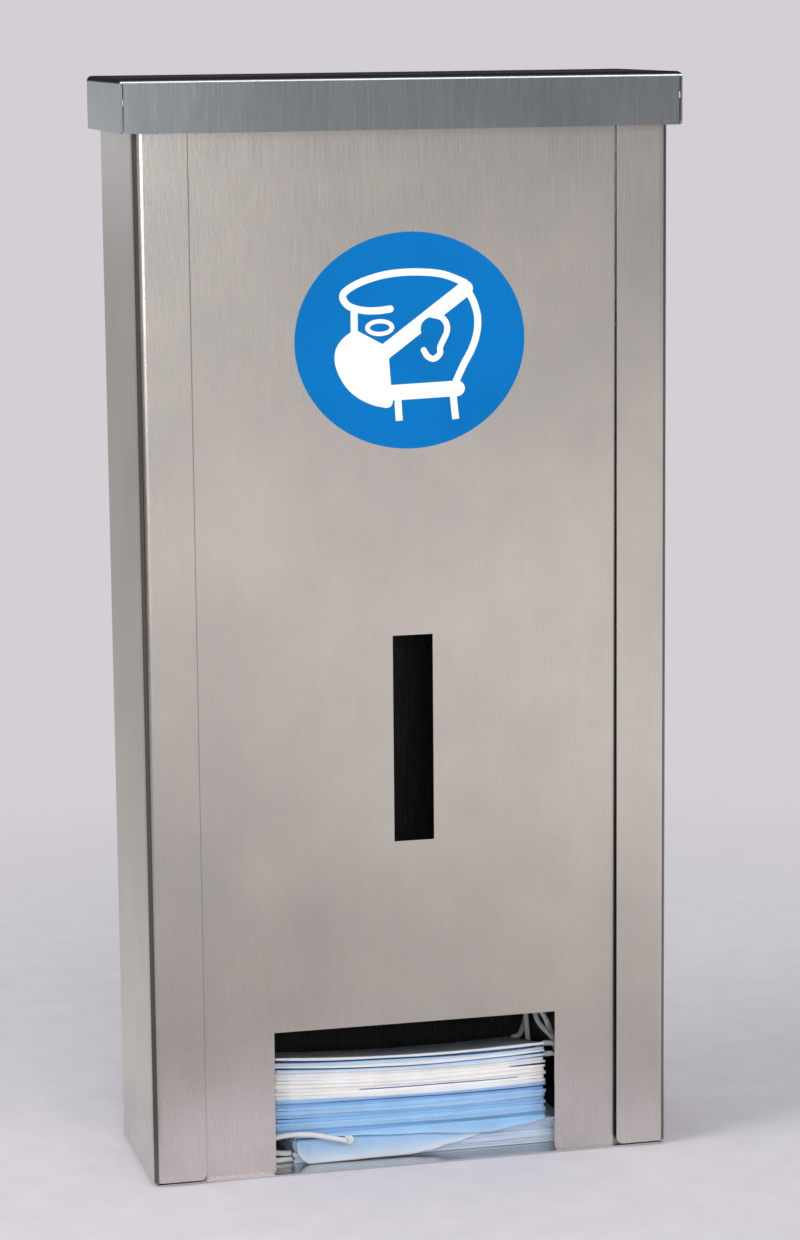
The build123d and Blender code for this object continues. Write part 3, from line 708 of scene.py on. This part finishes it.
# %% Skirt and flap
def hanging_sheet(name, upper, lower, front_top, front_foot, thickness, low_blue, high_blue,
                  shift=0.0, shade=0.0, columns=90, rows=20):
    """A closed sheet that hangs before the stack, with its lower edge rounded.

    The value of shade is how deep the blue shadow is below what lies over its upper edge."""
    points, blueness_and_shade, uvs = [], [], []
    x0, x1 = upper[0][0], upper[-1][0]
    profile = [(s / rows, 1) for s in range(rows + 1)] + [(1 - s / rows, -1) for s in range(rows + 1)]
    for column in range(columns + 1):
        x = x0 + (x1 - x0) * column / columns
        top, bottom = between(upper, x), between(lower, x)
        for share, face in profile:
            z = bottom + (top - bottom) * share
            belly = 0.35 * math.sin(math.pi * share) + 0.1 * math.sin(0.07 * x + 2.5 * share)
            near_edge = min(1.0, (z - bottom) / (thickness / 2))
            edge = math.sqrt(max(0.0, 1 - (1 - near_edge) ** 2))
            y = front_foot + (front_top - front_foot) * share - belly
            y += face * thickness / 2 * max(edge, 0.1)
            points.append((x * MM, y * MM, z * MM))
            blue = low_blue + (high_blue - low_blue) * min(1.0, share * 1.6)
            shaded = max(0.0, 1 - (top - z) / 1.8) * shade * (1 - between([(30, 0.0), (55, 1.0)], x))
            blueness_and_shade.append(blue + (1.9 - blue) * shaded)
            uvs.append((x + shift, z))
    sheet = make_piece(name, points, sweep_faces(columns, len(profile)), spunbond_mask)
    store_mask_values(sheet, blueness_and_shade, uvs)
    return sheet


SKIRT_TOP = [(-71.8, 18.0), (-40.0, 18.0), (1.5, 16.6), (30.0, 15.0), (51.0, 13.4)]
SKIRT_FOOT = [(-71.8, 12.0), (-70.4, 7.0), (-67.5, 3.6), (-64.0, 1.4),
              (0.0, 2.0), (14.0, 3.5), (28.0, 7.0), (51.0, 12.4)]
skirt = hanging_sheet("mask_07_skirt", SKIRT_TOP, SKIRT_FOOT, front_top=-39.3, front_foot=-40.3,
                      thickness=1.1, low_blue=0.3, high_blue=0.85, shift=-15.7, shade=1.0)
FLAP_TOP = [(-52.0, 20.2), (0.0, 20.2), (51.0, 20.2), (90.0, 20.6)]
FLAP_FOOT = [(-52.0, 19.2), (-40.0, 17.9), (1.5, 15.9), (51.0, 12.5), (75.0, 15.4), (90.0, 18.2)]
flap = hanging_sheet("mask_08_flap", FLAP_TOP, FLAP_FOOT, front_top=-38.9, front_foot=-41.2, thickness=0.8,
                     low_blue=0.8, high_blue=1.0)

# %% [markdown]
# ## The sign
# The round sign is a blue vinyl sticker with the common figure that asks people to wear a mask. The
# disc is a solid of the model and only gets its vinyl. The white figure is cut from a second film, and
# each of its strokes is a band of even width, most of them with round ends. The film is 0.06 mm thick.

# %% Vinyl films
def vinyl(name, hex_colour, darker_hex):
    """Glossy printed vinyl: a smooth film with a faint orange-peel surface."""
    material, tree, output = new_material(name)
    place = add_node(tree, "TexCoord").outputs["Object"]
    peel = add_node(tree, "TexNoise", {"Vector": place, "Scale": 350.0, "Detail": 2.0})
    patches = add_node(tree, "TexNoise", {"Vector": place, "Scale": 25.0, "Detail": 1.0})
    tone = add_node(tree, "MapRange", {
        "Value": patches, "From Min": 0.35, "From Max": 0.65})
    colour = add_node(tree, "Mix", {
        "Factor": tone, 6: linear(hex_colour), 7: linear(darker_hex)}, data_type="RGBA")
    bump = add_node(tree, "Bump", {"Height": peel, "Strength": 0.05, "Distance": 0.0001})
    shader = add_node(tree, "BsdfPrincipled", {
        "Base Color": colour.outputs[2], "Roughness": 0.55, "Specular IOR Level": 0.08,
        "Normal": bump})
    tree.links.new(shader.outputs["BSDF"], output.inputs["Surface"])
    return material


blue_vinyl = vinyl("vinyl_blue", "#0075BE", "#0071B8")
white_vinyl = vinyl("vinyl_white", "#FDFDFD", "#F9F9FA")
paint_nodes(blue_vinyl, "sign_disc")

# %% Figure on the sign
PANEL_FOOT_Y, PANEL_FOOT_Z = -52.0, 1.2
PANEL_LEAN = math.atan2(3.0, 671.1)
SIGN_MIDDLE = (2.7, 515.0)
SIGN_THICKNESS = 0.3


def on_sign(x, z, lift):
    """A point on the panel's leaning face, from the sign's middle, lifted off the vinyl."""
    up_panel = SIGN_MIDDLE[1] + z
    off_panel = SIGN_THICKNESS + lift
    return Vector((
        (SIGN_MIDDLE[0] + x) * MM,
        (PANEL_FOOT_Y - math.sin(PANEL_LEAN) * up_panel - math.cos(PANEL_LEAN) * off_panel) * MM,
        (PANEL_FOOT_Z + math.cos(PANEL_LEAN) * up_panel - math.sin(PANEL_LEAN) * off_panel) * MM,
    ))


def smooth_line(points, steps=10):
    """A Catmull-Rom line through the points."""
    result = []
    padded = [points[0], *points, points[-1]]
    for a, b, c, d in zip(padded, padded[1:], padded[2:], padded[3:]):
        for step in range(steps):
            t = step / steps
            result.append(tuple(
                0.5 * ((2 * b[i]) + (c[i] - a[i]) * t + (2 * a[i] - 5 * b[i] + 4 * c[i] - d[i]) * t * t
                       + (3 * b[i] - a[i] - 3 * c[i] + d[i]) * t ** 3) for i in range(2)))
    result.append(points[-1])
    return result


def round_end(centre, start, width):
    """Points of a half circle around a stroke's end, from its start point on."""
    angle = math.atan2(start[1] - centre[1], start[0] - centre[0])
    return [(centre[0] + width / 2 * math.cos(angle - k * math.pi / 12),
             centre[1] + width / 2 * math.sin(angle - k * math.pi / 12)) for k in range(1, 12)]


def stroke(points, width, steps=10, rounded=True):
    """Outline and inner faces of a band of even width along a smooth line."""
    line = smooth_line(points, steps) if steps > 1 else list(points)
    left, right_side = [], []
    for i, (x, z) in enumerate(line):
        before, after = line[max(i - 1, 0)], line[min(i + 1, len(line) - 1)]
        dx, dz = after[0] - before[0], after[1] - before[1]
        size = math.hypot(dx, dz)
        nx, nz = -dz / size * width / 2, dx / size * width / 2
        left.append((x + nx, z + nz))
        right_side.append((x - nx, z - nz))
    end_cap = round_end(line[-1], left[-1], width) if rounded else []
    start_cap = round_end(line[0], right_side[0], width) if rounded else []
    outline = left + end_cap + right_side[::-1] + start_cap
    count = len(line)
    opposite = [2 * count + len(end_cap) - 1 - i for i in range(count)]
    faces = [(i, i + 1, opposite[i + 1], opposite[i]) for i in range(count - 1)]
    if rounded:
        faces.append(tuple(range(count - 1, opposite[-1] + 1)))
        faces.append((*range(opposite[0], len(outline)), 0))
    return outline, faces


def patch(outline):
    """A filled outline as one face."""
    return outline, [tuple(range(len(outline)))]


def oval(x, z, half_width, half_height):
    return patch([(x + half_width * math.cos(a * math.pi / 24), z + half_height * math.sin(a * math.pi / 24))
                  for a in range(48)])


FILM_THICKNESS = 0.06
FILM_STEP = 0.015


def film(name, shapes, material):
    """Pieces of cut film laid on the sign, each a hair above the one before."""
    builder = bmesh.new()
    for order, (first_lift, (outline, faces)) in enumerate(shapes):
        lift = first_lift + FILM_STEP * order
        upper = [builder.verts.new(on_sign(x, z, lift + FILM_THICKNESS)) for x, z in outline]
        lower = [builder.verts.new(on_sign(x, z, lift + 0.005)) for x, z in outline]
        for face in faces:
            builder.faces.new([upper[i] for i in face])
            builder.faces.new([lower[i] for i in reversed(face)])
        for i in range(len(outline)):
            n = (i + 1) % len(outline)
            builder.faces.new((upper[i], lower[i], lower[n], upper[n]))
    bmesh.ops.triangulate(builder, faces=[f for f in builder.faces if len(f.verts) > 4])
    bmesh.ops.recalc_face_normals(builder, faces=builder.faces)
    mesh = bpy.data.meshes.new(name)
    builder.to_mesh(mesh)
    builder.free()
    piece = place_mesh(name, mesh, material)
    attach(piece, "cabinet")


LINE_WIDTH = 4.3
hair = stroke([(34.0, 34.0), (21.0, 39.2), (7.4, 41.0), (-6.0, 41.0), (-18.5, 39.4), (-31.0, 35.6),
               (-39.8, 30.6), (-41.3, 26.4), (-37.5, 21.6), (-29.0, 19.0), (-20.0, 18.6), (-12.3, 19.4)],
              LINE_WIDTH)
brow = stroke([(-34.5, 21.0), (-34.6, 13.0), (-34.6, 5.0)], LINE_WIDTH, rounded=False)
back_of_head = stroke([(36.0, 29.0), (39.8, 21.5), (42.0, 12.5), (41.3, 3.0), (38.1, -6.4), (33.2, -15.2),
                       (28.2, -25.5)], LINE_WIDTH)
neck_front = stroke([(-8.2, -31.0), (-7.8, -40.0), (-7.3, -48.2)], LINE_WIDTH, rounded=False)
neck_back = stroke([(26.2, -31.0), (27.0, -40.0), (27.9, -48.4)], LINE_WIDTH, rounded=False)
upper_strap = stroke([(-15.6, -6.2), (34.4, 30.4)], 9.4, steps=1)
lower_strap = stroke([(-14.0, -31.2), (29.0, -29.8)], 9.4, steps=1)
cup = patch(smooth_line([(-34.0, 7.6), (-40.6, 3.4), (-45.8, -3.2), (-46.8, -11.2), (-44.4, -19.4),
                         (-39.4, -27.6), (-32.4, -33.8), (-23.4, -38.2), (-15.2, -40.2)], 8)
            + [(-12.6, -39.6), (-11.4, -37.6), (-11.2, -35.0), (-12.3, -26.0), (-13.3, -11.2),
               (-12.6, -6.0), (-17.6, -1.4)])
eye_rim = oval(-18.9, 8.4, 9.0, 5.1)
eye_middle = oval(-18.9, 8.4, 6.1, 2.5)
ear_space = oval(13.4, 6.8, 7.0, 7.0)
ear = stroke([(13.6, 15.2), (19.2, 13.6), (22.4, 9.6), (22.6, 4.6), (20.2, -0.6), (18.4, -4.6), (18.2, -8.4),
              (14.6, -11.4), (10.6, -9.8), (8.2, -6.0)], 3.7)

figure = hair, brow, back_of_head, neck_front, neck_back, cup, upper_strap, lower_strap, eye_rim
film("sign_figure", [(0.0, shape) for shape in figure], white_vinyl)
film("sign_spaces", [(0.2, ear_space), (0.2, eye_middle)], blue_vinyl)
film("sign_ear", [(0.28, ear)], white_vinyl)

# %% [markdown]
# ## Floor, light and surroundings
# The floor is a pale lilac grey sheet. It keeps the object's soft shadow. Far out it turns into the
# plain colour that the camera sees behind it, so there is no horizon. What the steel mirrors matters
# more than the lamps: the front leans towards the floor in every view from above, so the floor's
# brightness is the steel's brightness, and a dimmer band at eye level darkens the lid.

# %% Floor
BACKGROUND = "#D3CFD5"
FLOOR_REACH = 12.0


def floor_material():
    """Pale floor; what the steel mirrors from farther out is given by distance."""
    material, tree, output = new_material("painted_floor")
    place = add_node(tree, "TexCoord").outputs["Object"]
    grit = add_node(tree, "TexNoise", {"Vector": place, "Scale": 40.0, "Detail": 3.0})
    colour = ramp(tree, grit, [(0.3, "#D0CCD2"), (0.7, "#D6D2D8")])
    paint = add_node(tree, "BsdfDiffuse", {"Color": colour})
    plain = add_node(tree, "Emission", {"Color": linear(BACKGROUND), "Strength": 1.0})
    distance = add_node(tree, "VectorMath", {0: place}, operation="LENGTH")
    share = add_node(tree, "MapRange", {
        "Value": distance.outputs["Value"], "From Max": FLOOR_REACH})
    root = add_node(tree, "Math", {0: share, 1: 0.5}, operation="POWER")
    # Brightness mirrored from in front, and from behind: stops at the root of the share of the reach
    before = ramp(tree, root, [
        (0.10, 0.70), (0.16, 0.52), (0.21, 0.54), (0.27, 0.65), (0.36, 0.79), (0.53, 0.80),
        (0.72, 0.52), (0.9, 0.22), (1.0, 0.16)])
    behind = ramp(tree, root, [(0.10, 0.82), (0.2, 0.76), (0.35, 0.60), (0.55, 0.52), (1.0, 0.54)])
    sides = add_node(tree, "SeparateXYZ", {"Vector": place})
    is_behind = add_node(tree, "MapRange", {
        "Value": sides.outputs["Y"], "From Min": -0.05, "From Max": 0.1})
    mirrored_colour = add_node(tree, "Mix", {
        "Factor": is_behind, 6: before, 7: behind},
        data_type="RGBA")
    # The room is a little brighter to the right of the middle.
    right_gain = add_node(tree, "MapRange", {
        "Value": sides.outputs["X"], "From Min": 0.02, "From Max": 0.35, "To Min": 0.8, "To Max": 1.12})
    warm = add_node(tree, "Mix", {
        "Factor": 1.0, 6: mirrored_colour.outputs[2], 7: linear("#FFFBFA")},
        data_type="RGBA", blend_type="MULTIPLY")
    mirrored = add_node(tree, "Emission", {
        "Color": warm.outputs[2], "Strength": right_gain})
    seen = add_node(tree, "LightPath")
    far_mirrored = add_node(tree, "MapRange", {
        "Value": distance.outputs["Value"], "From Min": 0.23, "From Max": 0.27})
    glossy_share = add_node(tree, "Math", {
        0: far_mirrored, 1: seen.outputs["Is Glossy Ray"]}, operation="MULTIPLY")
    far = add_node(tree, "MapRange", {
        "Value": distance.outputs["Value"], "From Min": 0.4, "From Max": 1.1})
    camera_share = add_node(tree, "Math", {
        0: far, 1: seen.outputs["Is Camera Ray"]}, operation="MULTIPLY")
    with_mirrored = add_node(tree, "MixShader", {
        "Fac": glossy_share, 1: paint, 2: mirrored})
    mixed = add_node(tree, "MixShader", {
        "Fac": camera_share, 1: with_mirrored, 2: plain})
    tree.links.new(mixed.outputs["Shader"], output.inputs["Surface"])
    return material


def stage_mesh(name, points, faces, material):
    """A piece of the studio, which is no part of the object."""
    mesh = bpy.data.meshes.new(name)
    mesh.from_pydata(points, [], faces)
    piece = place_mesh(name, mesh, material)
    return piece


stage_mesh("floor", [(FLOOR_REACH * math.cos(a * math.pi / 32), FLOOR_REACH * math.sin(a * math.pi / 32), 0.0)
                     for a in range(64)], [tuple(range(64))], floor_material())

# %% [markdown]
# A dark card stands to the left and in front, as photographers place one beside shiny goods. Only
# mirrors see it: it draws the dark line down the cabinet's rounded left edge.

# %% Dark card
card_material, card_tree, card_output = new_material("dark_card")
card_tone = add_node(card_tree, "TexNoise", {"Scale": 30.0})
card_colour = ramp(card_tree, card_tone, [(0.3, 0.02), (0.7, 0.04)])
card_paper = add_node(card_tree, "BsdfDiffuse", {"Color": card_colour})
card_tree.links.new(card_paper.outputs["BSDF"], card_output.inputs["Surface"])
CARD_CORNERS = [(-1.47, -0.80, 0.0), (-0.73, -1.45, 0.0), (-0.73, -1.45, 0.36), (-1.47, -0.80, 0.36)]
card = stage_mesh("dark_card", CARD_CORNERS, [(0, 1, 2, 3)], card_material)
card.visible_camera = False
card.visible_diffuse = False
card.visible_shadow = False

# %% World
world = bpy.data.worlds.new("studio")
scene.world = world
world.use_nodes = True
sky = world.node_tree
sky.nodes.clear()
sky_output = add_node(sky, "OutputWorld")
sky_place = add_node(sky, "TexCoord")
direction = add_node(sky, "SeparateXYZ", {"Vector": sky_place.outputs["Generated"]})
height_share = add_node(sky, "MapRange", {
    "Value": direction.outputs["Z"], "From Min": -0.2, "From Max": 0.8})
# Low to high: the pale bands and the dark above them draw the lid's white and dark lines.
front_room = ramp(sky, height_share, [
    (0.0, "#66686B"), (0.17, "#5B5E62"), (0.25, "#565B60"), (0.42, "#7F8388"), (0.5, "#FFFFFF"),
    (0.7, "#FFFFFF"), (0.76, "#3A2A44")])
left_room = ramp(sky, height_share, [
    (0.0, "#8C8880"), (0.17, "#A8A294"), (0.35, "#A8A398"), (0.55, "#A6A5A4"), (0.7, "#E4E4E6"),
    (0.78, "#3A2A44")])
back_room = ramp(sky, height_share, [
    (0.0, "#D6D8DC"), (0.19, "#D4D6DA"), (0.22, "#2B1A30"), (0.5, "#1A101C"), (1.0, "#1A101C")])
to_left = add_node(sky, "MapRange", {
    "Value": direction.outputs["X"], "From Min": -0.3, "From Max": -0.75})
to_back = add_node(sky, "MapRange", {
    "Value": direction.outputs["Y"], "From Min": 0.1, "From Max": 0.6})
front_or_left = add_node(sky, "Mix", {
    "Factor": to_left, 6: front_room, 7: left_room},
    data_type="RGBA")
sky_colour = add_node(sky, "Mix", {
    "Factor": to_back, 6: front_or_left.outputs[2], 7: back_room},
    data_type="RGBA")
room = add_node(sky, "Background", {"Color": sky_colour.outputs[2], "Strength": 1.0})
plain_sky = add_node(sky, "Background", {"Color": linear(BACKGROUND), "Strength": 1.0})
# Matt things are lit evenly, and only polished ones see the room's bright and dark parts.
even = add_node(sky, "Background", {"Color": linear("#F4F4F8"), "Strength": 0.66})
sky_seen = add_node(sky, "LightPath")
room_or_even = add_node(sky, "MixShader", {
    "Fac": sky_seen.outputs["Is Glossy Ray"], 1: even, 2: room})
sky_mix = add_node(sky, "MixShader", {
    "Fac": sky_seen.outputs["Is Camera Ray"], 1: room_or_even, 2: plain_sky})
sky.links.new(sky_mix.outputs["Shader"], sky_output.inputs["Surface"])


# %% Lamps
def softbox(name, place, target, width, height, power):
    """A rectangular soft lamp that points at a target."""
    data = bpy.data.lights.new(name, "AREA")
    data.shape = "RECTANGLE"
    data.size, data.size_y, data.energy = width, height, power
    lamp = bpy.data.objects.new(name, data)
    scene.collection.objects.link(lamp)
    lamp.location = place
    lamp.rotation_euler = (Vector(target) - Vector(place)).to_track_quat("-Z", "Y").to_euler()
    return lamp


softbox("softbox_above", (0.5, -2.2, 2.1), (0, 0, 0.25), 2.2, 0.9, 20)
softbox("softbox_left", (-2.2, -0.7, 1.9), (0, 0, 0.3), 1.2, 1.2, 38)
softbox("softbox_front", (-0.5, -2.6, 0.8), (0, 0, 0.05), 0.8, 0.5, 12)
